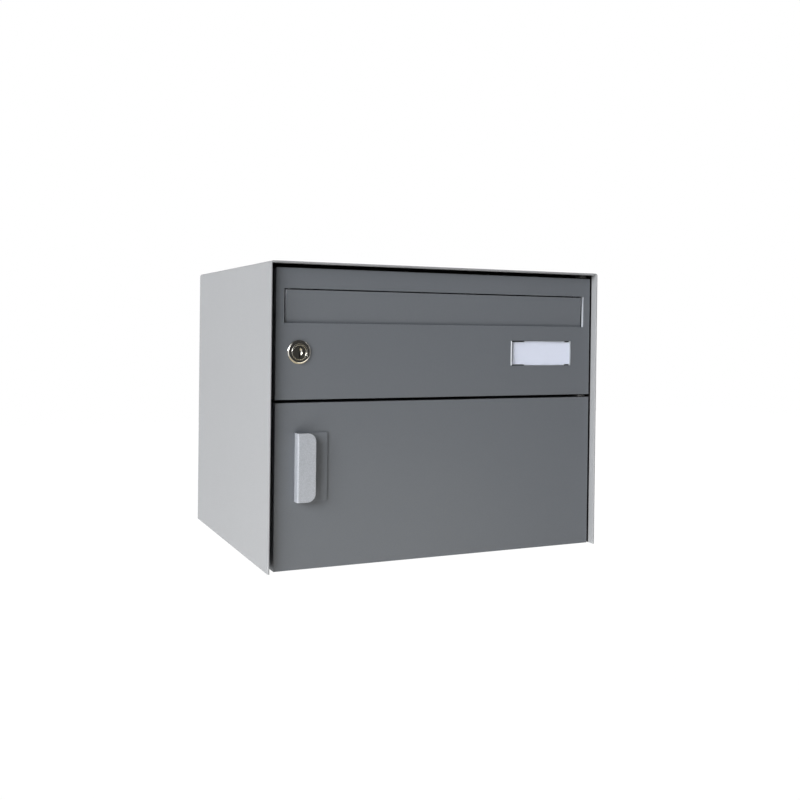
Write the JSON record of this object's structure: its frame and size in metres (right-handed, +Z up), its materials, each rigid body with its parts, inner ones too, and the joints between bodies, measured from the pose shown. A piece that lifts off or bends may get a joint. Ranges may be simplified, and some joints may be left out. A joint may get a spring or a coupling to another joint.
{
  "type": "wall mounted mailbox",
  "caption": "Wall mounted mailbox: folded silver sleeve, lockable letter door with inward flap, cam lock and name plate above, parcel door with folded plate handle below.",
  "frame": {"origin": "centre of the rear face, which lies on the wall", "axes": "+X to the right seen from the front, +Y into the wall, +Z up; the doors face -Y"},
  "size_m": [0.4, 0.3215, 0.32],
  "materials": {
    "shell_silver": "silver powder coat, fine satin",
    "door_grey": "dark grey satin paint",
    "frame_black": "matt black paint",
    "seal_rubber": "matt black rubber",
    "zinc_steel": "zinc plated",
    "lock_nickel": "polished nickel plate",
    "nylon_white": "natural nylon",
    "black_plastic": "matt black moulded plastic",
    "magnet_steel": "ground magnet face",
    "cover_clear": "clear acrylic",
    "card_paper": "plain white card",
    "handle_silver": "fine silver anodised"
  },
  "bodies": {
    "housing": {"outer_shell": "shell_silver", "rear_panel": "shell_silver", "bottom_panel": "shell_silver", "divider_shelf": "shell_silver", "front_frame": "frame_black", "upper_seal": "seal_rubber", "lower_seal": "seal_rubber", "hinge_bracket_top": "frame_black", "hinge_bracket_middle": "frame_black", "hinge_bracket_bottom": "frame_black", "hinge_pin_top": "frame_black", "hinge_pin_middle": "frame_black", "hinge_pin_bottom": "frame_black", "bracket_rivet_1": "frame_black", "bracket_rivet_2": "frame_black", "bracket_rivet_3": "frame_black", "bracket_rivet_4": "frame_black", "bracket_rivet_5": "frame_black", "bracket_rivet_6": "frame_black", "lock_strike": "zinc_steel", "magnet_catch": "black_plastic", "catch_magnet": "magnet_steel", "catch_screw_1": "zinc_steel", "catch_screw_2": "zinc_steel"},
    "upper_door": {"upper_door_panel": "door_grey", "upper_bush_top": "nylon_white", "upper_bush_bottom": "nylon_white", "flap_bracket_left": "zinc_steel", "flap_bracket_right": "zinc_steel", "flap_rod": "zinc_steel", "flap_spring": "zinc_steel", "flap_buffer_left": "seal_rubber", "flap_buffer_right": "seal_rubber", "lock_body": "lock_nickel", "lock_nut": "zinc_steel", "nameplate_cover": "cover_clear", "nameplate_card": "card_paper", "nameplate_holder": "black_plastic"},
    "letter_flap": {"letter_flap": "door_grey"},
    "lock_plug": {"lock_plug": "lock_nickel", "lock_cam": "zinc_steel", "cam_screw": "zinc_steel"},
    "lower_door": {"lower_door_panel": "door_grey", "lower_bush_top": "nylon_white", "lower_bush_bottom": "nylon_white", "handle_base_plate": "door_grey", "handle": "handle_silver", "handle_nut_1": "zinc_steel", "handle_nut_2": "zinc_steel", "catch_counter_plate": "zinc_steel"}
  },
  "joints": [
    {"name": "upper_door_hinge", "type": "hinge", "parent": "housing", "child": "upper_door", "pos_m": [0.187, -0.305, 0.08535], "axis": [0, 0, 1], "range_deg": [0, 100]},
    {"name": "lower_door_hinge", "type": "hinge", "parent": "housing", "child": "lower_door", "pos_m": [0.187, -0.305, -0.073], "axis": [0, 0, 1], "range_deg": [0, 100]},
    {"name": "letter_flap_hinge", "type": "hinge", "parent": "upper_door", "child": "letter_flap", "pos_m": [0, -0.305, 0.1278], "axis": [1, 0, 0], "range_deg": [0, 70], "stiffness_Nm_per_rad": 0.02, "springref_deg": -45.84},
    {"name": "lock_turn", "type": "hinge", "parent": "upper_door", "child": "lock_plug", "pos_m": [-0.1663, -0.311, 0.0665], "axis": [0, 1, 0], "range_deg": [0, 90]}
  ]
}
